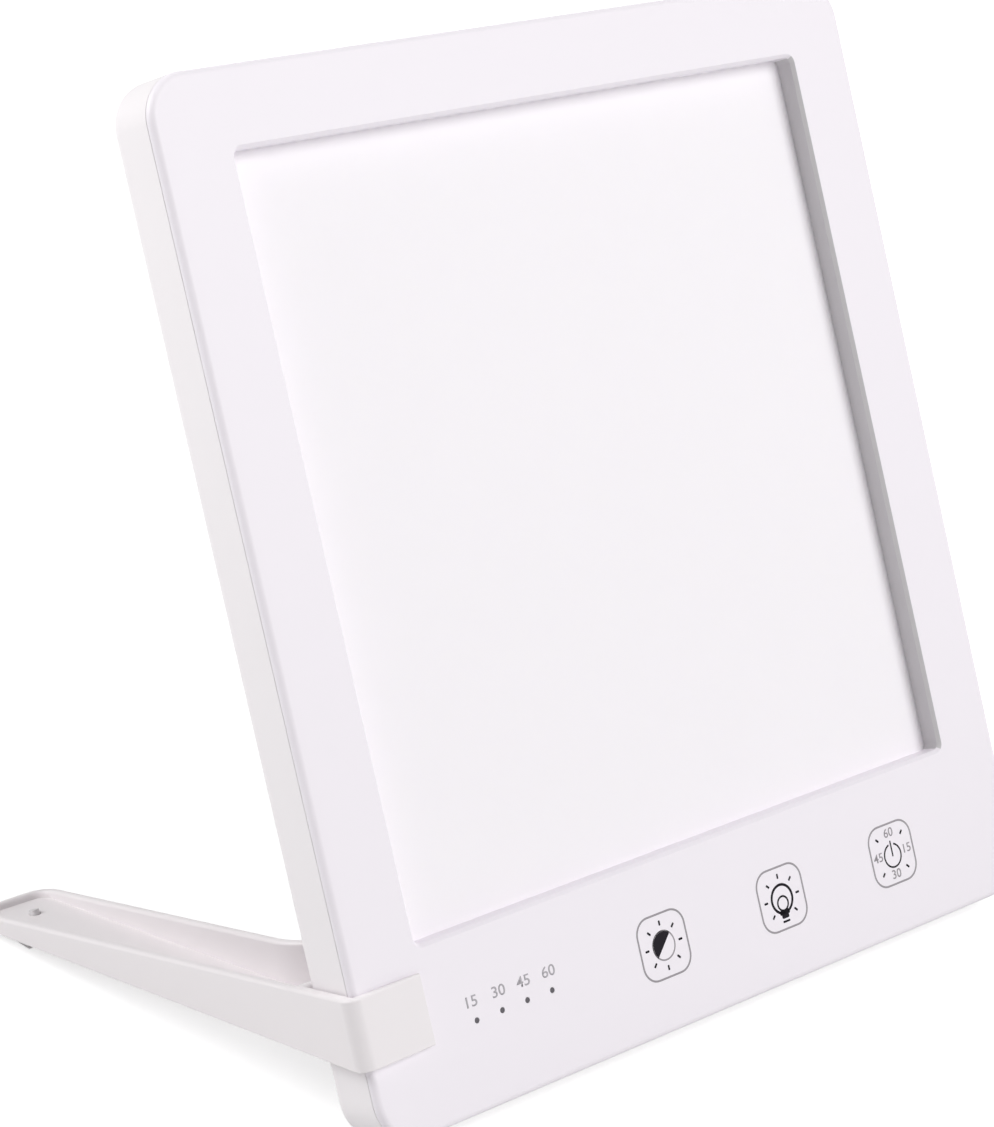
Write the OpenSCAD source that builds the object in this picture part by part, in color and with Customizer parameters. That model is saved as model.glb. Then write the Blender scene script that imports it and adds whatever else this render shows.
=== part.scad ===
// Light therapy lamp: a thin edge-lit light panel with touch keys,
// held leaning back by a stand with two hollow, tapered arms, whose clip
// grips the panel's left edge.
// Every piece is modelled in the panel's own frame, where X runs across,
// Y runs back from the front face and Z runs up the panel. lean_back()
// then tips it onto its feet, with +Z up and the origin at the middle of
// the space it stands on.

/* [Panel] */
// Width of the panel
panel_w = 200; // [180:1:230]
// Height of the panel, measured along its face
panel_h = 223; // [200:1:260]
// Thickness of the panel from front face to rear cover
panel_t = 15; // [14.5:0.5:20]
// Radius of the panel's four corners
corner_r = 10; // [6:1:16]
// Rounding along the edge of the front frame
front_edge_r = 1.5; // [0.8:0.1:1.6]
// Rounding along the edge of the rear cover
rear_edge_r = 2.5; // [1:0.5:3]
// Wall of the front frame
face_t = 2.2; // [2:0.1:3]
// Wall of the rear cover
cover_t = 2; // [1.6:0.1:2.4]
// Depth of the front frame's outer rim, up to the shadow gap
rim_depth = 1.7; // [1.6:0.1:2]
// Width of the shadow gap between front frame and rear cover
shadow_gap = 0.2; // [0.2:0.1:0.5]
// Thickness of the lip that locates the rear cover
lip_t = 1.2; // [1:0.1:1.6]
// Depth of the lip behind the rim
lip_depth = 2; // [1:0.1:2.2]

/* [Window] */
// Side margin of the front frame beside the window
window_side = 18.5; // [17:0.5:24]
// Height of the strip under the window that carries the keys
window_bottom = 38.5; // [38:0.5:46]
// Margin of the front frame above the window
window_top = 17.5; // [15:0.5:24]
// Depth of the window from the face to the diffuser
window_depth = 5; // [3:0.1:5]
// Radius of the window's corners
window_r = 1.5; // [1:0.5:6]
// Chamfer round the window's front edge
window_chamfer = 0.8; // [0.4:0.1:1.2]
// Wall round the window that the diffuser rests on
well_t = 1.6; // [1.2:0.1:2]

/* [Light stack] */
// How far the stack reaches past the window on each side
stack_lap = 3; // [2.5:0.1:3]
// Thickness of the opal diffuser plate
diffuser_t = 2; // [1.5:0.1:2]
// Thickness of the diffusing film
film_t = 0.3; // [0.2:0.1:0.3]
// Thickness of the light guide plate
guide_t = 3; // [3:0.1:3.1]
// Thickness of the reflector sheet
reflector_t = 0.3; // [0.2:0.1:0.4]
// Thickness of the aluminium back plate and its side flanges
plate_t = 0.8; // [0.6:0.1:0.8]
// Gap between the light guide's edge and the light-emitting diodes
led_gap = 0.3; // [0.2:0.1:0.4]
// Number of diodes on each light bar
led_count = 24; // [12:1:28]
// Size of a diode along the bar
led_len = 3.5; // [2.8:0.1:3.8]
// Size of a diode across the bar
led_wide = 2.8; // [2:0.1:2.9]
// Height of a diode above the bar
led_high = 0.8; // [0.6:0.1:1]
// Thickness of a light bar
bar_t = 1.2; // [1:0.1:1.6]
// Length left free at each end of the light guide beside a bar
bar_inset = 4; // [2:0.5:8]
// Width of each foam strip behind the back plate
foam_w = 10; // [6:1:14]

/* [Keys and control board] */
// Number of touch keys
key_count = 3; // [1:1:3]
// Distance between neighbouring keys
key_pitch = 37.3; // [30:0.1:38]
// Middle of the last key, measured from the panel's middle
key_last_x = 58.5; // [50:0.1:60]
// Height of the keys' middles above the panel's bottom edge
key_z = 19.1; // [18:0.1:22]
// Radius of the conductive foam pad behind a key
key_pad_r = 5; // [3.5:0.1:5.5]
// Number of indicator dots
dot_count = 4; // [1:1:4]
// Distance between neighbouring indicator dots
dot_pitch = 7.1; // [6:0.1:7.5]
// Middle of the first indicator dot, measured from the panel's middle
dot_first_x = -70.6; // [-72:0.1:-68]
// Radius of an indicator dot's hole in the front frame
dot_r = 0.65; // [0.5:0.05:0.9]
// Length of the control board
board_w = 148; // [146:0.5:150]
// Height of the control board
board_h = 22.5; // [20:0.5:22.5]
// Thickness of the control board
board_t = 1.6; // [1.2:0.1:1.6]
// Middle of the control board, measured from the panel's middle
board_x = -5; // [-6:0.5:-4]
// Gap between the front frame's wall and the control board
board_gap = 3.8; // [3.6:0.1:4]
// Distance of a board screw from the board's edges
board_screw_in = 3; // [2.8:0.1:4]
// Side of the square control chip
chip_w = 8; // [6:0.5:10]
// Width of a switching chip
driver_w = 5; // [4:0.5:6]
// Distance of the switching chips from the board's middle
driver_off = 24; // [20:0.5:25]
// Radius of a can capacitor
capacitor_r = 3.2; // [2.5:0.1:3.4]
// Height of a can capacitor
capacitor_h = 4.6; // [3:0.1:4.8]
// Distance between the two can capacitors
capacitor_pitch = 10; // [8:0.5:12]
// Radius of the wound coil
coil_r = 4; // [3:0.1:4.5]
// Height of the wound coil
coil_h = 3.6; // [3:0.1:4]
// Width of a wire connector
connector_w = 6; // [5:0.5:7]
// Height of a wire connector along the board
connector_h = 5; // [4:0.5:6]
// Depth of a wire connector behind the board
connector_t = 3.4; // [3:0.1:4.4]
// Radius of the wires
wire_r = 0.6; // [0.4:0.05:0.6]

/* [Power inlet] */
// Height of the inlet's axis above the panel's bottom edge
jack_z = 11; // [10.5:0.1:12]
// Radius of the inlet's bore
jack_bore_r = 2.85; // [2.8:0.05:3]
// Depth of the inlet's bore
jack_bore_len = 10; // [9.5:0.1:10.5]
// Radius of the inlet's centre pin
jack_pin_r = 1.05; // [0.8:0.05:1.25]
// Radius of the inlet's nose in the rear cover's wall
jack_nose_r = 4; // [3.8:0.1:4.2]
// Width and depth of the inlet's housing
jack_side = 9; // [8.6:0.1:9.2]
// Length of the inlet's housing
jack_len = 12; // [11:0.1:13]

/* [Screws] */
// Radius of a cover screw's shank
screw_r = 1.15; // [1:0.05:1.3]
// Radius of a cover screw's head
screw_head_r = 2.6; // [2.2:0.1:2.8]
// Height of a cover screw's head
screw_head_h = 1.6; // [1.2:0.1:1.6]
// Radius of the bosses that the cover screws hold in
boss_r = 3.1; // [2.8:0.1:3.2]
// Distance of the side cover screws from the panel's side edges
screw_side_in = 7.5; // [7:0.1:8]
// Distance of the lower cover screws from the panel's middle
screw_low_x = 60; // [50:1:64]
// Height of the lower cover screws above the panel's bottom edge
screw_low_z = 6.2; // [6:0.1:6.5]

/* [Stand] */
// Angle that the panel leans back from upright
lean = 20.5; // [17:0.5:23]
// Clearance between the panel and the stand
clip_gap = 0.4; // [0.3:0.05:0.6]
// Wall of the clip and of the arms' sides
stand_wall = 2.4; // [1.8:0.1:2.8]
// Thickness of the front tab where it leaves the clip's corner
tab_t = 1.8; // [1.6:0.1:3]
// Thickness of the front tab at its tip
tab_tip_t = 0.8; // [0.6:0.1:1.4]
// How far the front tab reaches over the front face
tab_reach = 17; // [8:0.5:18]
// Rounding of the clip's front outer corner
clip_corner_r = 3.4; // [1:0.1:3.5]
// Height of the clip's lower edge above the panel's bottom edge
clip_z = 17.8; // [14:0.1:20]
// Height of the clip and of the arms' front ends
clip_h = 15.5; // [12:0.5:16]
// Width of the arms and of the cross-bar behind the panel
arm_w = 22; // [16:0.5:24]
// Distance of the arms' rear ends behind the front face
arm_reach = 142; // [120:1:170]
// Height of the arms' rear ends
tail_h = 3.2; // [3:0.1:6]
// Rounding of the arms' rear corners
tail_r = 6; // [3:0.5:8]
// Radius inside the corners between arms and cross-bar
inner_r = 12; // [6:1:20]
// Rounding of the cross-bar's front corner at the end without a clip
bar_end_r = 1.5; // [0.5:0.1:3]
// Floor of the hollow arms and cross-bar
floor_t = 1.8; // [1.4:0.1:2.2]

/* [Feet] */
// Thickness of the rubber feet
foot_t = 1.2; // [0.8:0.1:1.6]
// Length of the panel's feet along its bottom edge
panel_foot_len = 30; // [16:1:40]
// Distance of the panel's feet from its middle
panel_foot_x = 62; // [40:1:70]
// How far the flats for the panel's feet cut into its lower rear edge
foot_flat = 3.6; // [3.2:0.1:4]
// Width of the arms' feet
arm_foot_w = 13; // [8:0.5:15]
// Length of the arms' feet
arm_foot_len = 10; // [6:0.5:14]
// Radius of the peg that holds an arm's foot
peg_r = 1.2; // [1:0.1:1.6]

/* [Hidden] */
$fn = 64;
eps = 0.01;
seat_gap = 0.1;

// panel interior
half_w = panel_w / 2;
cover_y = rim_depth + shadow_gap;
back_y = panel_t - cover_t;
lip_in = cover_t + shadow_gap;
win_w = panel_w - 2 * window_side;
win_h = panel_h - window_bottom - window_top;
win_x = win_w / 2;
win_z1 = window_bottom + win_h;

// light stack, front to back
stack_x = win_x + stack_lap;
stack_z0 = window_bottom - stack_lap;
stack_z1 = win_z1 + stack_lap;
film_y = window_depth + diffuser_t;
guide_y = film_y + film_t;
reflector_y = guide_y + guide_t;
plate_y = reflector_y + reflector_t;
plate_back_y = plate_y + plate_t;
led_x = stack_x + led_gap;
bar_x = led_x + led_high;
flange_x = bar_x + bar_t;
bar_z0 = stack_z0 + bar_inset;
bar_len = stack_z1 - stack_z0 - 2 * bar_inset;
led_pitch = bar_len / led_count;

// control board
board_y = face_t + board_gap;
board_back_y = board_y + board_t;
board_z1 = stack_z0 - 1;
board_z0 = board_z1 - board_h;
board_x0 = board_x - board_w / 2;
board_x1 = board_x + board_w / 2;
board_screw_r = 0.8;
board_head_h = 1;
board_boss_r = 2.2;
chip_t = 1.5;
driver_h = 4;
connector_in = 9;
left_connector_in = 12;
connector_drop = 5;
connector_rise = 4;
capacitor_in = 18;
capacitor_drop = 7;
coil_off = 34;
coil_rise = 7.5;
part_clear = 0.4;

// light pipes and the diodes behind them
pipe_fit = 0.08;
pipe_set_back = 0.05;
pipe_end = 2.6;
pipe_bar_h = 3.2;
mark_led_w = 2;
mark_led_h = 1.2;
mark_led_t = 0.8;
mark_led_clear = 0.3;

// wires, which pass behind the heads of the board screws
lead_clear = 0.3;
lead_pitch = 1.3;
lead_bend = 6;
lead_y = board_back_y + board_head_h + lead_clear + wire_r;
function lead_step(i) = lead_pitch * (0.5 - i);

// power inlet
jack_y = back_y - jack_side / 2;
jack_nose_x = half_w - 0.2;
jack_x = half_w - lip_in - lip_t - seat_gap;
jack_floor_x = jack_nose_x - jack_bore_len;
jack_fit = 0.2;
pin_set_back = 0.8;
rib_t = 1.2;
rib_off = 2.8;

// cover screws
screw_x = half_w - screw_side_in;
screw_floor = 2;
boss_end_y = back_y - screw_floor + 0.2;
screw_seat_y = panel_t - screw_head_h - 0.2;
screw_tip_y = face_t + 2.4;
pilot_gap = 0.1;
SCREWS = [
    [-screw_x, panel_h - corner_r - 1], [screw_x, panel_h - corner_r - 1],
    [-screw_x, (window_bottom + win_z1) / 2], [screw_x, (window_bottom + win_z1) / 2],
    [-screw_low_x, screw_low_z], [screw_low_x, screw_low_z]
];

// stand, seen from above in the panel's frame
clip_in_x = half_w + clip_gap;
stand_x = clip_in_x + stand_wall;
arm_in_x = stand_x - arm_w;
tab_y0 = -clip_gap - tab_t;
tip_r = tab_tip_t / 2;
bar_y0 = panel_t + clip_gap;
bar_y1 = bar_y0 + arm_w;
arm_mid_x = stand_x - arm_w / 2;
foot_y = arm_reach - tail_r - arm_foot_len / 2;

// ground under the feet, as the drop below the panel's lower front edge
ground_drop = foot_flat + foot_t;
function ground_z(y) = (y * sin(lean) - ground_drop) / cos(lean);
// the flats for the panel's feet run, level with the ground, from its bottom
// face to its rear face, and the feet keep a small margin inside them
foot_margin = 0.55;
panel_foot_y0 = foot_flat / tan(lean) + foot_margin;
panel_foot_y1 = panel_t / cos(lean) - foot_flat * tan(lean) - foot_margin;

// side view of the stand: its edges run from the clip to the arms' rear ends
tail_z0 = ground_z(arm_reach) + foot_t / cos(lean);
low_slope = (tail_z0 - clip_z) / arm_reach;
high_slope = (tail_z0 + tail_h - clip_z - clip_h) / arm_reach;
function arm_low(y) = clip_z + max(y, 0) * low_slope;
function arm_high(y) = clip_z + clip_h + y * high_slope;
// rib on the rear cover that keeps the cross-bar at its height
height_rib_z = arm_high(bar_y0) + 0.5;
height_rib_out = 1.4;
height_rib_w = 60;
height_rib_h = 2.4;

// space on the ground: the origin stands at its middle
front_reach = front_edge_r * (cos(lean) + sin(lean) - 1);
rear_reach = arm_reach * cos(lean) + arm_high(arm_reach) * sin(lean);
mid_reach = (front_reach + rear_reach) / 2;

// ---- shared shapes ----

// Tips the panel's frame back onto its feet
module lean_back() {
    translate([0, -mid_reach, ground_drop]) rotate([-lean, 0, 0]) children();
}

// Extrudes a front view, drawn in X and Z, from depth y0 to depth y1
module deep(y0, y1) {
    translate([0, y1, 0]) rotate([90, 0, 0]) linear_extrude(y1 - y0) children();
}

// Round bar along the depth, from y0 to y1
module bar_y(x, z, r, y0, y1) {
    translate([x, y1, z]) rotate([90, 0, 0]) cylinder(r = r, h = y1 - y0);
}

// Block given by its lowest and highest corners
module block(low, high) {
    translate(low) cube(high - low);
}

// Rectangle with true round corners, given by its sides
module round_rect(x0, x1, y0, y1, r) {
    translate([x0 + r, y0]) square([x1 - x0 - 2 * r, y1 - y0]);
    translate([x0, y0 + r]) square([x1 - x0, y1 - y0 - 2 * r]);
    for (x = [x0 + r, x1 - r], y = [y0 + r, y1 - r]) translate([x, y]) circle(r);
}

// Front view of the panel, drawn in by an even inset
module panel_outline(inset = 0) {
    round_rect(inset - half_w, half_w - inset, inset, panel_h - inset, corner_r - inset);
}

// Front view of the window, let out by an even margin
module window_outline(margin = 0) {
    round_rect(-win_x - margin, win_x + margin, window_bottom - margin, win_z1 + margin,
        window_r + margin);
}

// Points on a quarter circle of radius r about [x, y], from one angle to another
function quarter(x, y, r, from, to, steps = 5) =
    [for (i = [0:steps]) let (a = from + (to - from) * i / steps) [x + r * cos(a), y + r * sin(a)]];

// Slab with the panel's outline and rounded front and rear edges
module edged_slab(y0, y1, front_r, rear_r) {
    height = y1 - y0;
    profile = concat([[0, 0]],
        rear_r > 0 ? quarter(corner_r - rear_r, rear_r, rear_r, -90, 0) : [[corner_r, 0]],
        front_r > 0 ? quarter(corner_r - front_r, height - front_r, front_r, 0, 90)
            : [[corner_r, height]],
        [[0, height]]);
    hull() for (x = [corner_r - half_w, half_w - corner_r], z = [corner_r, panel_h - corner_r])
        translate([x, y1, z]) rotate([90, 0, 0]) rotate_extrude($fn = 48) polygon(profile);
}

// Wire laid along straight runs with rounded bends
module wire(points) {
    for (i = [0:len(points) - 2]) {
        run = points[i + 1] - points[i];
        translate(points[i])
            rotate([0, acos(run.z / norm(run)), atan2(run.y, run.x)])
            cylinder(r = wire_r, h = norm(run), $fn = 16);
    }
    for (i = [1:len(points) - 2]) translate(points[i]) sphere(wire_r, $fn = 16);
}

// ---- panel shells ----

// Moulded frame: face, window well, locating lip and screw bosses
module front_frame() {
    color("white") lean_back() difference() {
        union() {
            edged_slab(0, rim_depth, front_edge_r, 0);
            deep(rim_depth - eps, face_t) panel_outline(lip_in);
            deep(rim_depth - eps, rim_depth + lip_depth) difference() {
                panel_outline(lip_in);
                panel_outline(lip_in + lip_t);
            }
            deep(face_t - eps, window_depth) window_outline(well_t);
            for (s = SCREWS) bar_y(s.x, s.y, boss_r, face_t - eps, boss_end_y);
            for (p = BOARD_SCREWS) bar_y(p.x, p.y, board_boss_r, face_t - eps, board_y);
        }
        deep(-eps, window_depth + eps) window_outline();
        hull() {
            deep(-eps, 0) window_outline(window_chamfer);
            deep(window_chamfer, window_chamfer + eps) window_outline();
        }
        for (s = SCREWS) bar_y(s.x, s.y, screw_r + pilot_gap, screw_tip_y - 0.4, boss_end_y + eps);
        for (p = BOARD_SCREWS)
            bar_y(p.x, p.y, board_screw_r + pilot_gap, face_t + 0.6, board_y + eps);
        for (i = [0:dot_count - 1]) bar_y(dot_x(i), key_z, dot_r, -eps, face_t + eps);
    }
}

// Moulded tray that closes the back, with counterbored screw seats
module rear_cover() {
    color("white") lean_back() difference() {
        union() {
            difference() {
                edged_slab(cover_y, panel_t, 0, rear_edge_r);
                deep(cover_y - eps, back_y) panel_outline(cover_t);
            }
            for (s = SCREWS) bar_y(s.x, s.y, boss_r + 0.6, boss_end_y, back_y + eps);
            inlet_ribs();
            block([-height_rib_w / 2, panel_t - eps, height_rib_z],
                [height_rib_w / 2, panel_t + height_rib_out, height_rib_z + height_rib_h]);
        }
        for (s = SCREWS) {
            bar_y(s.x, s.y, screw_r + 0.35, boss_end_y - eps, panel_t + eps);
            bar_y(s.x, s.y, screw_head_r + 0.4, screw_seat_y, panel_t + eps);
        }
        translate([half_w - cover_t - 1, jack_y, jack_z]) rotate([0, 90, 0])
            cylinder(r = jack_nose_r + jack_fit, h = cover_t + 2);
        for (side = [-1, 1]) foot_flat_cut(side * panel_foot_x);
    }
}

// Pair of ribs that keep the inlet from being pushed in
module inlet_ribs() {
    rib_x = jack_x - jack_len - seat_gap;
    for (z = [jack_z - rib_off, jack_z + rib_off])
        block([rib_x - rib_t, jack_y, z - rib_t / 2], [rib_x, back_y + eps, z + rib_t / 2]);
}

// Flat cut along the lower rear edge, level with the ground, for one foot
module foot_flat_cut(x) {
    rotate([lean, 0, 0])
        translate([x - panel_foot_len / 2 - 0.3, 0, -foot_flat - 10])
        cube([panel_foot_len + 0.6, 40, 10]);
}

// ---- light stack ----

// Opal plate seen through the window
module diffuser_plate() {
    color("white") lean_back()
        deep(window_depth, film_y) round_rect(-stack_x, stack_x, stack_z0, stack_z1, 1);
}

// Thin film that evens out the light
module diffusing_film() {
    color("aliceblue") lean_back()
        deep(film_y, guide_y) round_rect(-stack_x, stack_x, stack_z0, stack_z1, 1);
}

// Clear plate that leads the light in from its two upright edges
module light_guide() {
    color("azure") lean_back()
        deep(guide_y, reflector_y) translate([-stack_x, stack_z0])
        square([2 * stack_x, stack_z1 - stack_z0]);
}

// White sheet behind the light guide
module reflector_sheet() {
    color("whitesmoke") lean_back()
        deep(reflector_y, plate_y) translate([-stack_x, stack_z0])
        square([2 * stack_x, stack_z1 - stack_z0]);
}

// Aluminium plate with folded sides that carry the light bars
module back_plate() {
    color("silver") lean_back() {
        block([-flange_x - plate_t, plate_y, stack_z0], [flange_x + plate_t, plate_back_y, stack_z1]);
        for (side = [-1, 1]) mirror([side < 0 ? 1 : 0, 0, 0])
            block([flange_x, guide_y - 0.2, bar_z0], [flange_x + plate_t, plate_y + eps, bar_z0 + bar_len]);
    }
}

// Circuit strip on the plate's folded side; side is -1 for the left one
module light_bar(side) {
    color("ivory") lean_back() mirror([side < 0 ? 1 : 0, 0, 0])
        block([bar_x, guide_y - 0.2, bar_z0], [flange_x, plate_y, bar_z0 + bar_len]);
}
module light_bar_left() { light_bar(-1); }
module light_bar_right() { light_bar(1); }

// Row of diodes that face the light guide's edge
module diodes(side) {
    mid_y = (guide_y + reflector_y) / 2;
    color("gold") lean_back() mirror([side < 0 ? 1 : 0, 0, 0])
        for (i = [0:led_count - 1]) {
            z = bar_z0 + led_pitch * (i + 0.5);
            block([led_x, mid_y - led_wide / 2, z - led_len / 2],
                [bar_x, mid_y + led_wide / 2, z + led_len / 2]);
        }
}
module diodes_left() { diodes(-1); }
module diodes_right() { diodes(1); }

// Foam that presses the stack forward from the rear cover
module foam_strips() {
    color("dimgray") lean_back()
        for (z = [stack_z0 + 2 * foam_w, stack_z1 - 3 * foam_w])
            block([-stack_x + foam_w, plate_back_y, z], [stack_x - foam_w, back_y, z + foam_w]);
}

// ---- keys and control board ----

function key_x(i) = key_last_x - (key_count - 1 - i) * key_pitch;
function dot_x(i) = dot_first_x + i * dot_pitch;
// two screws in the board's upper corners and two below, halfway beside the touch pads
BOARD_SCREWS = [
    [board_x0 + board_screw_in, board_z1 - board_screw_in],
    [board_x1 - board_screw_in, board_z1 - board_screw_in],
    [key_x(0) - key_pitch / 2, board_z0 + board_screw_in],
    [key_last_x - key_pitch / 2, board_z0 + board_screw_in]
];

// wire connectors: the left and the right light bar's, then the inlet's
CONNECTORS = [
    [board_x0 + left_connector_in, board_z1 - connector_drop],
    [board_x1 - connector_in, board_z1 - connector_drop],
    [board_x1 - connector_in, board_z0 + connector_rise]
];

// Circuit board behind the strip with the keys
module control_board() {
    color("darkgreen") lean_back() difference() {
        block([board_x0, board_y, board_z0], [board_x1, board_back_y, board_z1]);
        for (p = BOARD_SCREWS)
            bar_y(p.x, p.y, board_screw_r + 0.3, board_y - eps, board_back_y + eps);
    }
}

// Control chip and the two switching chips on the board's rear
module board_chips() {
    mid_z = (board_z0 + board_z1) / 2;
    color("dimgray") lean_back() {
        block([board_x - chip_w / 2, board_back_y, mid_z - chip_w / 2],
            [board_x + chip_w / 2, board_back_y + chip_t, mid_z + chip_w / 2]);
        for (x = [board_x - driver_off, board_x + driver_off])
            block([x - driver_w / 2, board_back_y, mid_z - driver_h / 2],
                [x + driver_w / 2, board_back_y + chip_t, mid_z + driver_h / 2]);
    }
}

// Two can capacitors that stand on the board's rear
module board_capacitors() {
    color("lightsteelblue") lean_back()
        for (x = [board_x1 - capacitor_in, board_x1 - capacitor_in - capacitor_pitch])
            bar_y(x, board_z1 - capacitor_drop, capacitor_r, board_back_y,
                min(board_back_y + capacitor_h, back_y - part_clear));
}

// Wound coil on the board's rear
module board_inductor() {
    color("black") lean_back()
        bar_y(board_x + coil_off, board_z0 + coil_rise, coil_r, board_back_y,
            min(board_back_y + coil_h, back_y - part_clear));
}

// Three wire connectors at the board's ends
module board_connectors() {
    color("ivory") lean_back()
        for (p = CONNECTORS)
            block([p.x - connector_w / 2, board_back_y, p.y - connector_h / 2],
                [p.x + connector_w / 2, board_back_y + connector_t, p.y + connector_h / 2]);
}

// Small diodes on the board's front, one behind each dot
module indicator_diodes() {
    color("khaki") lean_back()
        for (i = [0:dot_count - 1])
            block([dot_x(i) - mark_led_w / 2, board_y - mark_led_t, key_z - mark_led_h / 2],
                [dot_x(i) + mark_led_w / 2, board_y, key_z + mark_led_h / 2]);
}

// One clear moulding with a pin for each dot
module light_pipes() {
    color("slategray") lean_back() {
        block([dot_x(0) - pipe_end, face_t, key_z - pipe_bar_h / 2],
            [dot_x(dot_count - 1) + pipe_end, board_y - mark_led_t - mark_led_clear, key_z + pipe_bar_h / 2]);
        for (i = [0:dot_count - 1])
            bar_y(dot_x(i), key_z, dot_r - pipe_fit, pipe_set_back, face_t + eps);
    }
}

// Conductive foam between the face and the board, one pad for each key
module touch_pads() {
    color("gray") lean_back()
        for (i = [0:key_count - 1]) bar_y(key_x(i), key_z, key_pad_r, face_t, board_y);
}

// ---- power inlet and wiring ----

// Moulded inlet with a round nose that shows in the side wall
module inlet_housing() {
    color("black") lean_back() difference() {
        union() {
            block([jack_x - jack_len, back_y - jack_side, jack_z - jack_side / 2],
                [jack_x, back_y, jack_z + jack_side / 2]);
            translate([jack_x - eps, jack_y, jack_z]) rotate([0, 90, 0])
                cylinder(r = jack_nose_r, h = jack_nose_x - jack_x + eps);
        }
        translate([jack_floor_x, jack_y, jack_z]) rotate([0, 90, 0])
            cylinder(r = jack_bore_r, h = jack_bore_len + eps);
    }
}

// Centre pin of the inlet
module inlet_pin() {
    color("silver") lean_back() translate([jack_floor_x, jack_y, jack_z]) rotate([0, 90, 0])
        cylinder(r = jack_pin_r, h = jack_bore_len - pin_set_back);
}

// Two wires from the inlet to the lower right connector
module power_leads() {
    plug = CONNECTORS[2];
    end_x = plug.x + connector_w / 2;
    color("firebrick") lean_back() for (i = [0, 1]) {
        x = end_x + lead_bend + lead_step(i);
        z0 = jack_z + lead_step(i);
        z1 = plug.y + lead_step(i);
        wire([[jack_x - jack_len, lead_y, z0], [x, lead_y, z0], [x, lead_y, z1], [end_x, lead_y, z1]]);
    }
}

// Two wires from a light bar's lower end to its connector
module light_leads(side) {
    plug = side < 0 ? CONNECTORS[0] : CONNECTORS[1];
    end_x = abs(plug.x) + connector_w / 2;
    color("firebrick") lean_back() mirror([side < 0 ? 1 : 0, 0, 0]) for (i = [0, 1]) {
        x = flange_x - wire_r - lead_step(i);
        z = plug.y + lead_step(i);
        wire([[x, lead_y, bar_z0], [x, lead_y, z], [end_x, lead_y, z]]);
    }
}
module light_leads_left() { light_leads(-1); }
module light_leads_right() { light_leads(1); }

// ---- screws and feet ----

// Pan head screw along the depth with its head towards the back
module screw(x, z, r, head_r, head_h, seat_y, tip_y) {
    difference() {
        union() {
            bar_y(x, z, r, tip_y, seat_y + eps);
            bar_y(x, z, head_r, seat_y, seat_y + head_h);
        }
        for (turn = [0, 90]) translate([x, seat_y + head_h, z]) rotate([0, turn, 0])
            cube([head_r * 1.2, head_h, head_r * 0.24], center = true);
    }
}

// Screws that draw the rear cover onto the front frame
module cover_screws() {
    color("silver") lean_back()
        for (s = SCREWS) screw(s.x, s.y, screw_r, screw_head_r, screw_head_h, screw_seat_y, screw_tip_y);
}

// Screws that hold the control board on the front frame's bosses
module board_screws() {
    color("silver") lean_back()
        for (p = BOARD_SCREWS)
            screw(p.x, p.y, board_screw_r, board_screw_r * 2, board_head_h, board_back_y, face_t + 1);
}

// Rubber pads on the flats of the panel's lower rear edge
module panel_feet() {
    color("dimgray") lean_back() rotate([lean, 0, 0])
        for (side = [-1, 1])
            translate([side * panel_foot_x - panel_foot_len / 2, panel_foot_y0, -ground_drop])
            cube([panel_foot_len, panel_foot_y1 - panel_foot_y0, foot_t]);
}

// Rubber pads under the arms' rear ends, each held by a peg through the floor
module stand_feet() {
    color("dimgray") lean_back() for (side = [-1, 1]) {
        intersection() {
            deep(foot_y - arm_foot_len / 2, foot_y + arm_foot_len / 2)
                translate([side * arm_mid_x - arm_foot_w / 2, 0]) square([arm_foot_w, 3 * panel_h]);
            side_view() polygon([[foot_y - 20, ground_z(foot_y - 20)], [foot_y + 20, ground_z(foot_y + 20)],
                [foot_y + 20, arm_low(foot_y + 20)], [foot_y - 20, arm_low(foot_y - 20)]]);
        }
        translate([side * arm_mid_x, foot_y, arm_low(foot_y) - 0.6])
            cylinder(r = peg_r, h = floor_t + 1.6);
    }
}

// ---- stand ----

// Extrudes a side view, drawn in Y and Z, over the stand's whole width
module side_view() {
    rotate([90, 0, 90]) translate([0, 0, -stand_x - 1]) linear_extrude(2 * stand_x + 2) children();
}

// Clip seen from above, as a right-hand one, from the cross-bar's front round to the
// outer side: its front tab thins out evenly towards the tip
function clip_half() = concat(
    [[clip_in_x, bar_y0], [clip_in_x, -clip_gap], [half_w - tab_reach, -clip_gap]],
    quarter(half_w - tab_reach + tip_r, -clip_gap - tip_r, tip_r, 180, 270),
    quarter(stand_x - clip_corner_r, tab_y0 + clip_corner_r, clip_corner_r, -90, 0, 8));

// Front corner of the cross-bar at its right end, which has no clip
function bar_end() = quarter(stand_x - bar_end_r, bar_y0 + bar_end_r, bar_end_r, -90, 0);

// Right arm seen from above, drawn in by an inset: outer and inner rear corner,
// then the rounded corner that leads into the cross-bar
function arm_half(inset) =
    let (r = tail_r - inset, rear_y = arm_reach - tail_r)
    concat(quarter(stand_x - tail_r, rear_y, r, 0, 90, 8),
        quarter(arm_in_x + tail_r, rear_y, r, 90, 180, 8),
        quarter(arm_in_x - inner_r, bar_y1 + inner_r, inner_r + inset, 0, -90, 12));

// Right half of the hollow seen from above
function hollow_half() =
    concat([[stand_x - stand_wall, bar_y0 + stand_wall]], arm_half(stand_wall));

// Mirror image of an outline, run the other way round
function mirrored(points) = [for (i = [len(points) - 1:-1:0]) [-points[i].x, points[i].y]];

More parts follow.
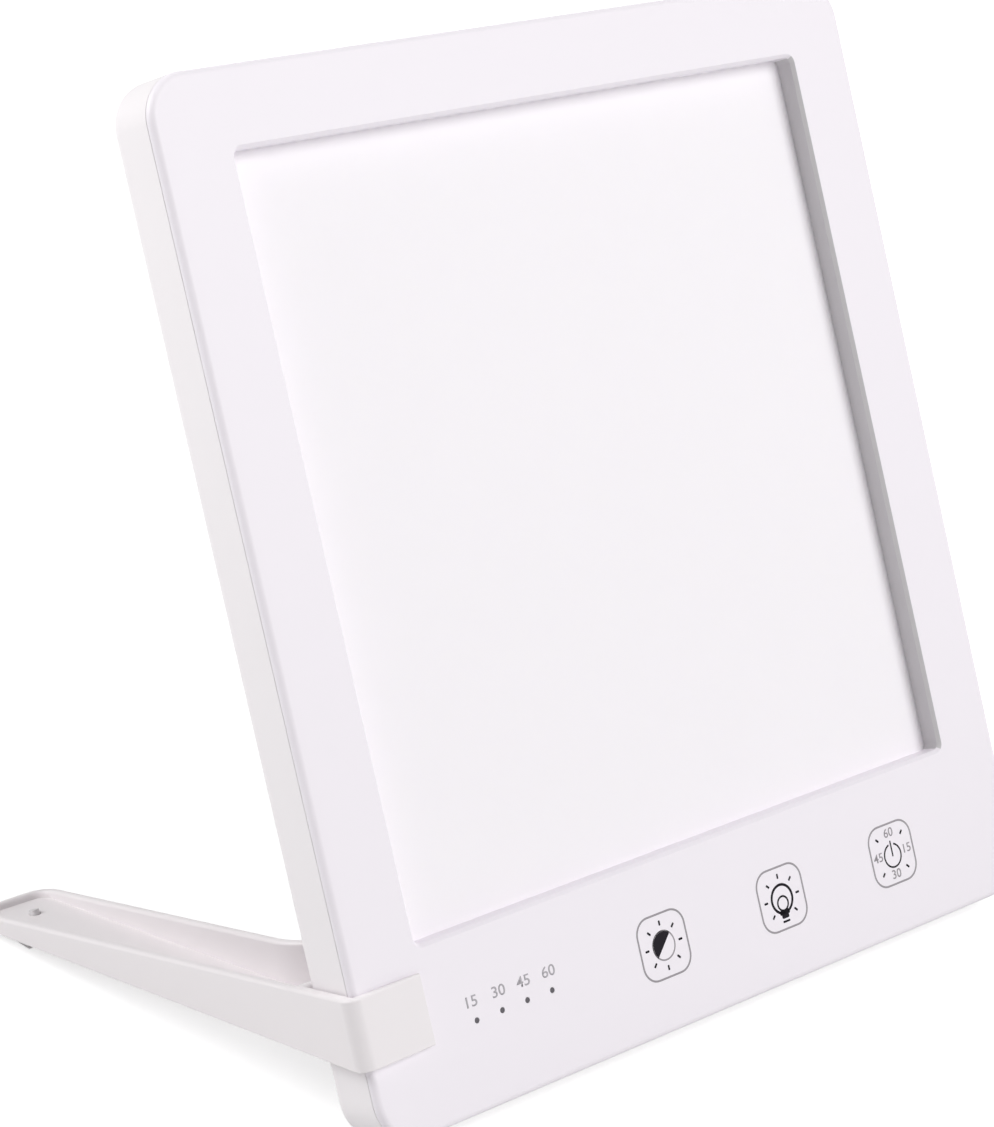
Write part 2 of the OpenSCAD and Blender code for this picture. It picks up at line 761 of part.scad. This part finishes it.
// Stand moulded in one piece: a clip at the left, a cross-bar and two tapered
// arms, hollow from above
module stand() {
    far = arm_reach + 5;
    color("white") lean_back() difference() {
        intersection() {
            linear_extrude(2 * panel_h) polygon(concat(bar_end(), arm_half(0),
                mirrored(concat(clip_half(), arm_half(0)))));
            side_view() polygon([[tab_y0 - 1, arm_low(0)], [0, arm_low(0)], [far, arm_low(far)],
                [far, arm_high(far)], [tab_y0 - 1, arm_high(tab_y0 - 1)]]);
        }
        intersection() {
            linear_extrude(2 * panel_h) polygon(concat(hollow_half(), mirrored(hollow_half())));
            side_view() polygon([[bar_y0, arm_low(bar_y0) + floor_t], [far, arm_low(far) + floor_t],
                [far, arm_high(far) + 50], [bar_y0, arm_high(bar_y0) + 50]]);
        }
        for (side = [-1, 1]) translate([side * arm_mid_x, foot_y, arm_low(foot_y) - 1])
            cylinder(r = peg_r + seat_gap, h = floor_t + 3);
    }
}

front_frame();
rear_cover();
diffuser_plate();
diffusing_film();
light_guide();
reflector_sheet();
back_plate();
light_bar_left();
light_bar_right();
diodes_left();
diodes_right();
foam_strips();
control_board();
board_chips();
board_capacitors();
board_inductor();
board_connectors();
indicator_diodes();
light_pipes();
touch_pads();
inlet_housing();
inlet_pin();
power_leads();
light_leads_left();
light_leads_right();
cover_screws();
board_screws();
panel_feet();
stand();
stand_feet();
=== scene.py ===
import math

import bpy
from mathutils import Matrix, Vector


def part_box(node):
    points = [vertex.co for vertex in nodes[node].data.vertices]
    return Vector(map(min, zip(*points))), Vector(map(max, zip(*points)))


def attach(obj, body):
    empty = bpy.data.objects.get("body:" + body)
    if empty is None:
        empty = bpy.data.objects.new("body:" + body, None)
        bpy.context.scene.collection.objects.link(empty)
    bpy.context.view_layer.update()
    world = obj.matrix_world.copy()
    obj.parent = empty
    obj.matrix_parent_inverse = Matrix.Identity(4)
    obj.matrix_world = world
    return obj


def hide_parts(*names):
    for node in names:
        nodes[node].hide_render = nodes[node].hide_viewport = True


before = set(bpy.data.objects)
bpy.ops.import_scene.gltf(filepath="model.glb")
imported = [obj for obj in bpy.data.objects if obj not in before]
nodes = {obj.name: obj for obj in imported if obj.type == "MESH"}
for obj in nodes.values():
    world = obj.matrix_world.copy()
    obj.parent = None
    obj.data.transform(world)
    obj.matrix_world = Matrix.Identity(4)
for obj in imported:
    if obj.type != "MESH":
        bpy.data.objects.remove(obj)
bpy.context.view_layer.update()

MM = 0.001

# ---- Viewpoint ----
# The lamp is seen from its left front and a little above, through a long lens, with the
# camera turned by about a degree about its own line of sight.
eye = Vector((-0.4746, -0.5228, 0.3416))
aim = Vector((0.0539, 0.0654, 0.0583))
camera_roll = math.radians(0.9)
focal_length = 104.04

lens = bpy.data.cameras.new("camera")
lens.lens = focal_length
lens.sensor_width = 36
lens.clip_start = 0.05
camera = bpy.data.objects.new("camera", lens)
bpy.context.scene.collection.objects.link(camera)
view_turn = (aim - eye).to_track_quat("-Z", "Y").to_matrix().to_4x4()
camera.matrix_world = Matrix.Translation(eye) @ view_turn @ Matrix.Rotation(camera_roll, 4, "Z")
bpy.context.scene.camera = camera

# ---- Panel shells ----
# The casing is two injection-moulded shells: the front frame with the window, in a faintly
# lavender white, and the deeper rear cover in a neutral white. Both have a fine eroded grain,
# and the moulds leave every edge a little round. Six screws hold them together.
shell_lavender = (0.93, 0.887, 0.938)
shell_neutral = (0.91, 0.875, 0.893)
grain_size = 0.35 * MM
grain_depth = 0.05 * MM
cloud_scale = 9
darkest_tone = 0.985
lightest_tone = 1.01
gloss_swing = 0.05
mould_round = 0.25 * MM
merge_reach = 0.002 * MM
flat_angle = math.radians(0.4)
sharp_angle = math.radians(35)
lean = math.radians(20.5)
across = Vector((1, 0, 0))
panel_up = Vector((0, math.sin(lean), math.cos(lean)))
outward = Vector((0, -math.cos(lean), math.sin(lean)))
shell_points = [v.co for v in nodes["front_frame"].data.vertices]
face_level = max(p.dot(outward) for p in shell_points)
foot_level = min(p.dot(panel_up) for p in shell_points)


def moulded_plastic(name, colour, roughness=0.42, grain=0.05):
    """Plastic with a fine grain, a slow change of tone and a little unevenness in its gloss."""
    material = bpy.data.materials.new(name)
    material.use_nodes = True
    tree = material.node_tree
    shader = tree.nodes["Principled BSDF"]
    place = tree.nodes.new("ShaderNodeTexCoord")
    cloud = tree.nodes.new("ShaderNodeTexNoise")
    cloud.inputs["Scale"].default_value = cloud_scale
    cloud.inputs["Detail"].default_value = 3
    tone = tree.nodes.new("ShaderNodeMix")
    tone.data_type = "RGBA"
    tone.inputs["A"].default_value = (*[c * darkest_tone for c in colour], 1)
    tone.inputs["B"].default_value = (*[min(c * lightest_tone, 1) for c in colour], 1)
    gloss = tree.nodes.new("ShaderNodeMapRange")
    gloss.inputs["To Min"].default_value = roughness - gloss_swing
    gloss.inputs["To Max"].default_value = roughness + gloss_swing
    spark = tree.nodes.new("ShaderNodeTexNoise")
    spark.inputs["Scale"].default_value = 1 / grain_size
    spark.inputs["Detail"].default_value = 2
    bump = tree.nodes.new("ShaderNodeBump")
    bump.inputs["Strength"].default_value = grain
    bump.inputs["Distance"].default_value = grain_depth
    tree.links.new(place.outputs["Object"], cloud.inputs["Vector"])
    tree.links.new(place.outputs["Object"], spark.inputs["Vector"])
    tree.links.new(cloud.outputs["Fac"], tone.inputs["Factor"])
    tree.links.new(tone.outputs["Result"], shader.inputs["Base Color"])
    tree.links.new(cloud.outputs["Fac"], gloss.inputs["Value"])
    tree.links.new(gloss.outputs["Result"], shader.inputs["Roughness"])
    tree.links.new(spark.outputs["Fac"], bump.inputs["Height"])
    tree.links.new(bump.outputs["Normal"], shader.inputs["Normal"])
    return material


def pick(piece):
    """Makes a piece the only one selected, and active."""
    bpy.ops.object.select_all(action="DESELECT")
    piece.select_set(True)
    bpy.context.view_layer.objects.active = piece


def moulded_copy(name, body, material, edge_round=mould_round, segments=2, weigh=None):
    """A copy of a packed shell, merged into clean faces, with its sharp edges rounded.

    weigh, if given, sets each edge's share of the rounding."""
    piece = bpy.data.objects.new(f"{name}_moulding", nodes[name].data.copy())
    bpy.context.scene.collection.objects.link(piece)
    pick(piece)
    bpy.ops.object.mode_set(mode="EDIT")
    bpy.ops.mesh.select_all(action="SELECT")
    bpy.ops.mesh.remove_doubles(threshold=merge_reach)
    bpy.ops.mesh.dissolve_limited(angle_limit=flat_angle)
    bpy.ops.object.mode_set(mode="OBJECT")
    bevel = piece.modifiers.new("edge", "BEVEL")
    bevel.width = edge_round
    bevel.segments = segments
    bevel.limit_method = "WEIGHT" if weigh else "ANGLE"
    bevel.angle_limit = sharp_angle
    if weigh:
        weigh(piece.data)
        bevel.use_clamp_overlap = False
    bpy.ops.object.modifier_apply(modifier=bevel.name)
    bpy.ops.object.shade_smooth_by_angle(angle=sharp_angle)
    flat = piece.modifiers.new("flat", "WEIGHTED_NORMAL")
    flat.keep_sharp = True
    bpy.ops.object.modifier_apply(modifier=flat.name)
    piece.data.materials.clear()
    piece.data.materials.append(material)
    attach(piece, body)
    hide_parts(name)
    return piece


front_plastic = moulded_plastic("front_frame_plastic", shell_lavender)
rear_plastic = moulded_plastic("rear_cover_plastic", shell_neutral)
front_shell = moulded_copy("front_frame", "panel", front_plastic)
moulded_copy("rear_cover", "panel", rear_plastic)

# the window's right wall is painted grey, as painted shade for the shade in the window's recess, and
# given a duller finish
wall_shade_grey = (0.62, 0.605, 0.615)
wall_x = 81.5 * MM
wall_margin = 0.9 * MM
wall_turn = 0.5

wall_shade_plastic = moulded_plastic("window_wall_painted_shade", wall_shade_grey, roughness=0.6, grain=0.1)
front_shell.data.materials.append(wall_shade_plastic)
wall_slot = len(front_shell.data.materials) - 1
for face in front_shell.data.polygons:
    if abs(face.center.x - wall_x) < wall_margin and face.normal.x < -wall_turn:
        face.material_index = wall_slot

# ---- Diffuser ----
# An opal acrylic plate, milky through and through, lies at the bottom of the window, between
# the window's wall and the light stack. A weak glow is painted light that lifts its tone.
opal_white = (0.975, 0.932, 0.98)
milky_share = 0.25
milky_reach = (4 * MM, 4 * MM, 4.5 * MM)
painted_glow_colour = (0.9, 0.93, 1, 1)
painted_glow_strength = 0.03


def finish(name, material):
    """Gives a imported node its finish."""
    nodes[name].data.materials.clear()
    nodes[name].data.materials.append(material)


opal = moulded_plastic("opal_acrylic", opal_white, roughness=0.5, grain=0.015)
opal_shader = opal.node_tree.nodes["Principled BSDF"]
opal_shader.inputs["Subsurface Weight"].default_value = milky_share
opal_shader.inputs["Subsurface Radius"].default_value = milky_reach
opal_shader.inputs["Subsurface Scale"].default_value = 1
# painted light: a weak glow that only brightens the plate, not the light of its diodes
opal_shader.inputs["Emission Color"].default_value = painted_glow_colour
opal_shader.inputs["Emission Strength"].default_value = painted_glow_strength
finish("diffuser_plate", opal)

# ---- Light stack ----
# Behind the diffuser lie a thin film, the clear light guide, a white reflector and the
# aluminium plate, with a strip of light-emitting diodes along each upright edge.
guide_clearness = 0.9
acrylic_ior = 1.49
metal_grain = 0.04

film = moulded_plastic("polyester_film", (0.86, 0.87, 0.89), roughness=0.55, grain=0.03)
finish("diffusing_film", film)
reflector = moulded_plastic("white_reflector", (0.93, 0.93, 0.93), roughness=0.6, grain=0.03)
finish("reflector_sheet", reflector)
guide = moulded_plastic("clear_acrylic", (0.93, 0.97, 0.98), roughness=0.06, grain=0.005)
guide_shader = guide.node_tree.nodes["Principled BSDF"]
guide_shader.inputs["Transmission Weight"].default_value = guide_clearness
guide_shader.inputs["IOR"].default_value = acrylic_ior
finish("light_guide", guide)


def metal(name, colour, roughness, streak_scale):
    """Bare metal. A streak scale under 1 along an axis draws its tone and grain out that way."""
    material = moulded_plastic(name, colour, roughness, metal_grain)
    tree = material.node_tree
    shader = tree.nodes["Principled BSDF"]
    shader.inputs["Metallic"].default_value = 1
    stretch = tree.nodes.new("ShaderNodeMapping")
    stretch.inputs["Scale"].default_value = streak_scale
    place = next(n for n in tree.nodes if n.type == "TEX_COORD")
    tree.links.new(place.outputs["Object"], stretch.inputs["Vector"])
    for noise in [n for n in tree.nodes if n.type == "TEX_NOISE"]:
        tree.links.new(stretch.outputs["Vector"], noise.inputs["Vector"])
    return material


rolled = metal("rolled_aluminium", (0.78, 0.79, 0.8), roughness=0.38, streak_scale=(0.1, 1, 1))
finish("back_plate", rolled)
strip = moulded_plastic("white_solder_mask", (0.84, 0.84, 0.8), roughness=0.3, grain=0.02)
for side in ("left", "right"):
    finish(f"light_bar_{side}", strip)
phosphor = moulded_plastic("diode_phosphor", (0.86, 0.72, 0.24), roughness=0.35, grain=0.03)
for name in ("diodes_left", "diodes_right", "indicator_diodes"):
    finish(name, phosphor)
foam = moulded_plastic("black_foam", (0.03, 0.03, 0.032), roughness=0.95, grain=0.6)
finish("foam_strips", foam)

# ---- Control board ----
# A green circuit board stands behind the key strip on four bosses, with its chips,
# capacitors, coil and connectors on the rear, and red wires that come in from both sides.
board_green = moulded_plastic("green_solder_mask", (0.02, 0.16, 0.05), roughness=0.28, grain=0.05)
finish("control_board", board_green)
epoxy = moulded_plastic("moulded_epoxy", (0.02, 0.02, 0.022), roughness=0.55, grain=0.2)
finish("board_chips", epoxy)
can = metal("can_aluminium", (0.72, 0.73, 0.75), roughness=0.25, streak_scale=(1, 1, 0.2))
finish("board_capacitors", can)
lacquer = moulded_plastic("coil_lacquer", (0.03, 0.028, 0.028), roughness=0.35, grain=0.3)
finish("board_inductor", lacquer)
nylon = moulded_plastic("nylon_connector", (0.8, 0.77, 0.68), roughness=0.45, grain=0.05)
finish("board_connectors", nylon)
pad_foam = moulded_plastic("conductive_foam", (0.09, 0.09, 0.1), roughness=0.85, grain=0.5)
finish("touch_pads", pad_foam)
insulation = moulded_plastic("red_insulation", (0.5, 0.03, 0.025), roughness=0.4, grain=0.03)
for name in ("power_leads", "light_leads_left", "light_leads_right"):
    finish(name, insulation)

# ---- Key signs ----
# Three touch keys are printed on the flat strip under the window: a thin grey square with
# round corners about each, and in it a half-dark disc for brightness, a bulb for the colour
# of the light, and a timer with its start mark. They are screen-printed in one thin layer.
ink_dark = (0.008, 0.006, 0.01)
ink_grey = (0.34, 0.32, 0.34)
ink_t = 0.04 * MM
ink_shine = 0.15
ink_thinnest = 1.15
ink_fullest = 0.9
key_square = 14.6 * MM
key_corner = 4.0 * MM
key_line = 0.45 * MM
ray_size = (1.15 * MM, 0.5 * MM)
ray_reach = 5.05 * MM
bar_corner = 0.3
circle_steps = 64

face_origin = outward * face_level + panel_up * foot_level
face_place = Matrix.Translation(face_origin) @ Matrix((across, panel_up, outward)).transposed().to_4x4()

pad_low, pad_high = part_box("touch_pads")
pad_r = 5 * MM
key_x = [pad_low.x + pad_r, (pad_low.x + pad_high.x) / 2, pad_high.x - pad_r]
to_face = face_place.inverted()
pad_heights = [(to_face @ v.co).y for v in nodes["touch_pads"].data.vertices]
key_z = (min(pad_heights) + max(pad_heights)) / 2


def printed_ink(name, colour):
    """Matt ink that covers a little unevenly, as print does on grained plastic."""
    material = moulded_plastic(name, colour, roughness=0.7, grain=0.1)
    shader = material.node_tree.nodes["Principled BSDF"]
    shader.inputs["Specular IOR Level"].default_value = ink_shine
    tone = next(n for n in material.node_tree.nodes if n.type == "MIX")
    tone.inputs["A"].default_value = (*[c * ink_fullest for c in colour], 1)
    tone.inputs["B"].default_value = (*[min(c * ink_thinnest, 1) for c in colour], 1)
    return material


dark_print = printed_ink("dark_print", ink_dark)
grey_print = printed_ink("grey_print", ink_grey)


def new_flat(add, **how):
    """Adds a flat primitive about the origin and opens it for editing with all selected."""
    bpy.ops.object.select_all(action="DESELECT")
    add(location=(0, 0, 0), **how)
    bpy.ops.object.mode_set(mode="EDIT")
    bpy.ops.mesh.select_all(action="SELECT")
    return bpy.context.object


def close_flat(piece, x=0.0, y=0.0, turn=0.0):
    """Leaves edit mode and puts the flat shape at its place on the drawing plane."""
    bpy.ops.object.mode_set(mode="OBJECT")
    piece.data.transform(Matrix.Translation((x, y, 0)) @ Matrix.Rotation(turn, 4, "Z"))
    return piece


def keep_rim(width):
    """Insets the flat face being edited and deletes its middle, which leaves a rim."""
    bpy.ops.mesh.inset(thickness=width, depth=0)
    bpy.ops.mesh.delete(type="FACE")


def rounded_square(size, corner, line):
    """The outline of a square with round corners."""
    piece = new_flat(bpy.ops.mesh.primitive_plane_add, size=size)
    bpy.ops.mesh.bevel(affect="VERTICES", offset=corner, segments=10)
    bpy.ops.mesh.select_all(action="SELECT")
    keep_rim(line)
    return close_flat(piece)


def disc(radius, steps=circle_steps):
    """A full disc, left open for editing."""
    return new_flat(bpy.ops.mesh.primitive_circle_add, vertices=steps, radius=radius, fill_type="NGON")


def ring(radius, line, y=0.0):
    """The outline of a disc."""
    piece = disc(radius)
    keep_rim(line)
    return close_flat(piece, y=y)


def bar(length, width, x, y, turn=0.0):
    """A stroke with softened corners."""
    piece = new_flat(bpy.ops.mesh.primitive_plane_add, size=1)
    bpy.ops.transform.resize(value=(length, width, 1))
    bpy.ops.mesh.bevel(affect="VERTICES", offset=bar_corner * width, segments=3)
    return close_flat(piece, x, y, turn)


def rays(angles, reach):
    """Short strokes that point away from a sign's middle."""
    strokes = []
    for angle in angles:
        turn = math.radians(angle)
        strokes.append(bar(*ray_size, reach * math.cos(turn), reach * math.sin(turn), turn))
    return strokes


def print_on_face(name, parts, material, x, z):
    """Joins flat shapes into one thin layer of print, half sunk into the front face."""
    pick(parts[0])
    for part in parts:
        part.select_set(True)
    bpy.ops.object.join()
    piece = bpy.context.object
    piece.name = name
    piece.data.transform(face_place @ Matrix.Translation((x, z, -ink_t / 2)))
    thick = piece.modifiers.new("thickness", "SOLIDIFY")
    thick.thickness = ink_t
    thick.offset = 1
    bpy.ops.object.modifier_apply(modifier=thick.name)
    piece.data.materials.clear()
    piece.data.materials.append(material)
    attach(piece, "panel")


for i, x in enumerate(key_x):
    square = rounded_square(key_square, key_corner, key_line)
    print_on_face(f"key_square_{i + 1}", [square], grey_print, x, key_z)

# brightness: a disc with its upper left half dark
disc_r = 3.4 * MM
disc_line = 0.35 * MM
half = disc(disc_r)
bpy.ops.mesh.bisect(plane_co=(0, 0, 0), plane_no=(1, -1, 0), clear_outer=True)
close_flat(half)
print_on_face("brightness_half", [half], dark_print, key_x[0], key_z)
print_on_face("brightness_ring", [ring(disc_r, disc_line)], grey_print, key_x[0], key_z)
print_on_face("brightness_rays", rays(range(0, 360, 45), ray_reach), dark_print, key_x[0], key_z)

# bulb: a ring with a filament loop, a solid base in two widths and a contact bar under it
bulb_r = 3.55 * MM
bulb_line = 0.62 * MM
bulb_y = -0.2 * MM
loop_r = 1.85 * MM
loop_line = 0.45 * MM
loop_drop = 1.05 * MM
base_h = 1.1 * MM
base_w = 3.1 * MM
base_drop = 3.1 * MM
neck_w = 2.2 * MM
neck_drop = 3.95 * MM
contact_h = 0.5 * MM
contact_drop = 5.2 * MM
bulb_angles = [0, 45, 90, 135, 180, 225, 315]
bulb = [
    ring(bulb_r, bulb_line, y=bulb_y),
    ring(loop_r, loop_line, y=bulb_y - loop_drop),
    bar(base_w, base_h, 0, bulb_y - base_drop),
    bar(neck_w, base_h, 0, bulb_y - neck_drop),
    bar(neck_w, contact_h, 0, bulb_y - contact_drop),
]
print_on_face("bulb", bulb, dark_print, key_x[1], key_z)
print_on_face("bulb_rays", rays(bulb_angles, ray_reach), dark_print, key_x[1], key_z)

# timer: an open ring with a bar, minutes round it and four strokes between them
timer_r = 2.95 * MM
timer_line = 0.42 * MM
timer_y = -0.45 * MM
timer_steps = 72
timer_ray_reach = 5.8 * MM
gap_from = math.radians(70)
gap_to = math.radians(106)
start_length = 3.8 * MM
start_line = 0.4 * MM
start_lift = 1.65 * MM
upright = math.radians(90)
arc = disc(timer_r, timer_steps)
keep_rim(timer_line)
bpy.ops.object.mode_set(mode="OBJECT")
for face in arc.data.polygons:
    face.select = gap_from < math.atan2(face.center.y, face.center.x) < gap_to
bpy.ops.object.mode_set(mode="EDIT")
bpy.ops.mesh.delete(type="FACE")
close_flat(arc, y=timer_y)
start_bar = bar(start_length, start_line, 0, timer_y + start_lift, upright)
print_on_face("timer_mark", [arc, start_bar], dark_print, key_x[2], key_z)
print_on_face("timer_rays", rays(range(45, 360, 90), timer_ray_reach), dark_print, key_x[2], key_z)


# the height of a digit, as a share of the text's size
digit_share = 0.71


def number(text, height, x, y, weight, spread):
    """A printed number in a plain face, drawn flat and centred, a little bolder and wider."""
    bpy.ops.object.select_all(action="DESELECT")
    bpy.ops.object.text_add(location=(0, 0, 0))
    digits = bpy.context.object
    digits.data.body = text
    digits.data.align_x = "CENTER"
    digits.data.align_y = "CENTER"
    digits.data.size = height / digit_share
    digits.data.offset = weight
    digits.data.resolution_u = 4
    bpy.ops.object.convert(target="MESH")
    digits = bpy.context.object
    digits.data.transform(Matrix.Translation((x, y, 0)) @ Matrix.Diagonal((spread, 1, 1, 1)))
    return digits


minute_h = 2.1 * MM
minute_weight = 0.02 * MM
minute_spread = 1.08
minute_places = (("60", 0, 4.95), ("15", 4.85, 0), ("30", 0, -4.95), ("45", -4.75, 0))
minutes = [
    number(text, minute_h, x * MM, y * MM, minute_weight, minute_spread)
    for text, x, y in minute_places
]
print_on_face("timer_minutes", minutes, grey_print, key_x[2], key_z)

# ---- Minute dots ----
# Four holes of 1.3 mm in the front frame show the smoked ends of one light pipe moulding,
# and the minutes that each stands for are printed over them in pale grey.
ink_pale = (0.47, 0.45, 0.48)
dot_number_h = 2.4 * MM
dot_number_lift = 4.1 * MM
dot_number_weight = 0.025 * MM
dot_number_spread = 1.16
first_number_off = 0.6 * MM
pipe_low, pipe_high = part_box("light_pipes")
pipe_end = 2.6 * MM
dot_texts = ("15", "30", "45", "60")
dot_gaps = len(dot_texts) - 1
dot_span = pipe_high.x - pipe_low.x - 2 * pipe_end
dot_x = [pipe_low.x + pipe_end + i * dot_span / dot_gaps for i in range(dot_gaps + 1)]

smoked = moulded_plastic("smoked_acrylic", (0.09, 0.082, 0.095), roughness=0.35, grain=0.02)
finish("light_pipes", smoked)
pale_print = printed_ink("pale_print", ink_pale)
number_x = [dot_x[0] - first_number_off, *dot_x[1:]]
labels = [
    number(text, dot_number_h, x, 0, dot_number_weight, dot_number_spread)
    for text, x in zip(dot_texts, number_x)
]
print_on_face("dot_minutes", labels, pale_print, 0, key_z + dot_number_lift)

# ---- Power inlet ----
# A black moulded barrel inlet sits behind a round hole in the right edge, with a plated
# centre pin inside its bore.
inlet_black = moulded_plastic("inlet_nylon", (0.018, 0.018, 0.02), roughness=0.4, grain=0.1)
finish("inlet_housing", inlet_black)
nickel = metal("nickel_plate", (0.75, 0.74, 0.7), roughness=0.2, streak_scale=(0.2, 1, 1))
finish("inlet_pin", nickel)

# ---- Screws ----
# Pan head screws of plated steel, with a cross slot: six sit in counterbores in the rear cover,
# and four hold the control board inside.
zinc = metal("zinc_plated_steel", (0.62, 0.63, 0.65), roughness=0.3, streak_scale=(1, 1, 1))
finish("cover_screws", zinc)
finish("board_screws", zinc)

# ---- Feet ----
# Pale grey rubber pads: two lie on the flats of the panel's lower rear edge, and one under
# each arm is held by a peg through the arm's floor.
rubber = moulded_plastic("foot_rubber", (0.74, 0.72, 0.73), roughness=0.8, grain=0.3)
finish("panel_feet", rubber)
finish("stand_feet", rubber)

# ---- Stand ----
# One moulding in neutral white: a clip that grips the panel's left edge, a hollow cross-bar
# behind it and two hollow arms that taper to the rear. Its rims are softly rounded.
stand_white = (0.885, 0.845, 0.86)
rim_round = 0.95 * MM
rim_segments = 4
edge_share = 0.35

# measured backwards from the panel's face: the tab with its corner, and the whole clip
tab_zone = 1.3 * MM
clip_zone = 15.4 * MM

# how far a face's normal has to point up, or to the right, for the face to count as such
faces_up = 0.9
faces_right = 0.5
rim_lean_room = 0.02


def weigh_rims(mesh):
    """Shares out the rounding between the stand's sharp edges.

    The rims of the arms get all of it and the clip's corner less towards its front. The thin
    tab, the clip's inner side and every other sharp edge get the smaller share, and the floor
    of the hollow keeps its crease."""
    beside = {}
    for face in mesh.polygons:
        for key in face.edge_keys:
            beside.setdefault(key, []).append(face)
    rim_lean = max(face.normal.y for face in mesh.polygons if face.normal.z > faces_up)
    weights = mesh.attributes.new("bevel_weight_edge", "FLOAT", "EDGE")
    for edge in mesh.edges:
        one, other = beside[edge.key]
        if one.normal.angle(other.normal) < sharp_angle:
            continue
        share = edge_share
        for top, wall in ((one, other), (other, one)):
            if top.normal.z <= faces_up:
                continue
            if (wall.center - top.center).dot(top.normal) > 0:
                share = 0
            elif rim_lean - top.normal.y < rim_lean_room:
                start, end = (mesh.vertices[index].co for index in edge.vertices)
                behind_face = face_level - ((start + end) / 2).dot(outward)
                fullness = 1 if behind_face > tab_zone else max(0, -wall.normal.x)
                if behind_face < clip_zone and wall.normal.x > faces_right:
                    fullness = 0
                share = edge_share + (1 - edge_share) * fullness
        weights.data[edge.index].value = share


stand_plastic = moulded_plastic("stand_plastic", stand_white, roughness=0.4)
moulded_copy("stand", "stand", stand_plastic, rim_round, rim_segments, weigh_rims)

# ---- Table top and backdrop ----
# A plain white surface under a white surround. To the camera both are pure white, and the
# surface still darkens where the lamp shades it.
table_size = 8
table_gap = 0.2 * MM
floor_white = (0.72, 0.72, 0.72)
floor_lift = 0.6
fade_from = 0.3
fade_to = 0.8

bpy.ops.object.select_all(action="DESELECT")
bpy.ops.mesh.primitive_plane_add(size=table_size, location=(0, 0, -table_gap))
table_top = bpy.context.object
table_top.name = "table_top"
surface = bpy.data.materials.new("table_white")
surface.use_nodes = True
tree = surface.node_tree
tree.nodes.clear()
diffuse = tree.nodes.new("ShaderNodeBsdfDiffuse")
diffuse.inputs["Color"].default_value = (*floor_white, 1)
glow = tree.nodes.new("ShaderNodeEmission")
path = tree.nodes.new("ShaderNodeLightPath")
seen = tree.nodes.new("ShaderNodeMath")
seen.operation = "MAXIMUM"
place = tree.nodes.new("ShaderNodeTexCoord")
away = tree.nodes.new("ShaderNodeVectorMath")
away.operation = "LENGTH"
fade = tree.nodes.new("ShaderNodeMapRange")
fade.interpolation_type = "SMOOTHSTEP"
fade.inputs["From Min"].default_value = fade_from
fade.inputs["From Max"].default_value = fade_to
fade.inputs["To Min"].default_value = floor_lift
fade.inputs["To Max"].default_value = 1
lift = tree.nodes.new("ShaderNodeMath")
lift.operation = "MULTIPLY"
total = tree.nodes.new("ShaderNodeAddShader")
target = tree.nodes.new("ShaderNodeOutputMaterial")
tree.links.new(path.outputs["Is Camera Ray"], seen.inputs[0])
tree.links.new(path.outputs["Is Glossy Ray"], seen.inputs[1])
tree.links.new(place.outputs["Object"], away.inputs[0])
tree.links.new(away.outputs["Value"], fade.inputs["Value"])
tree.links.new(seen.outputs[0], lift.inputs[0])
tree.links.new(fade.outputs["Result"], lift.inputs[1])
tree.links.new(lift.outputs[0], glow.inputs["Strength"])
tree.links.new(diffuse.outputs[0], total.inputs[0])
tree.links.new(glow.outputs[0], total.inputs[1])
tree.links.new(total.outputs[0], target.inputs["Surface"])
table_top.data.materials.append(surface)

surround_level = 0.22

world = bpy.data.worlds.new("surround")
bpy.context.scene.world = world
world.use_nodes = True
tree = world.node_tree
tree.nodes.clear()
path = tree.nodes.new("ShaderNodeLightPath")
direct = tree.nodes.new("ShaderNodeMath")
direct.operation = "MAXIMUM"
clear = tree.nodes.new("ShaderNodeMath")
clear.operation = "MAXIMUM"
level = tree.nodes.new("ShaderNodeMapRange")
level.inputs["To Min"].default_value = surround_level
level.inputs["To Max"].default_value = 1
background = tree.nodes.new("ShaderNodeBackground")
background.inputs["Color"].default_value = (1, 1, 1, 1)
target = tree.nodes.new("ShaderNodeOutputWorld")
tree.links.new(path.outputs["Is Camera Ray"], direct.inputs[0])
tree.links.new(path.outputs["Is Transmission Ray"], direct.inputs[1])
tree.links.new(direct.outputs[0], clear.inputs[0])
tree.links.new(path.outputs["Is Glossy Ray"], clear.inputs[1])
tree.links.new(clear.outputs[0], level.inputs["Value"])
tree.links.new(level.outputs["Result"], background.inputs["Strength"])
tree.links.new(background.outputs[0], target.inputs["Surface"])

# ---- Lamps ----
# A broad soft light stands to the right in front and lights the face. A second one, behind
# to the left, lights the panel's side and the stand. The front left edge lies between them.
lit_middle = Vector((0, -0.02, 0.11))


def soft_light(name, direction, distance, size, light_level):
    """A square area light aimed at the lamp, set by the level at which it lights a white face."""
    light = bpy.data.lights.new(name, "AREA")
    light.shape = "SQUARE"
    light.size = size
    light.energy = light_level * math.pi ** 2 * distance ** 2
    holder = bpy.data.objects.new(name, light)
    bpy.context.scene.collection.objects.link(holder)
    spot = lit_middle + Vector(direction).normalized() * distance
    turn = (lit_middle - spot).to_track_quat("-Z", "Y").to_matrix().to_4x4()
    holder.matrix_world = Matrix.Translation(spot) @ turn


soft_light("front_light", direction=(0.35, -0.75, 0.57), distance=2.2, size=1.5, light_level=0.715)
soft_light("side_light", direction=(-0.76, 0.5, 0.62), distance=1.1, size=0.7, light_level=0.7)

bpy.context.scene.view_settings.view_transform = "Standard"
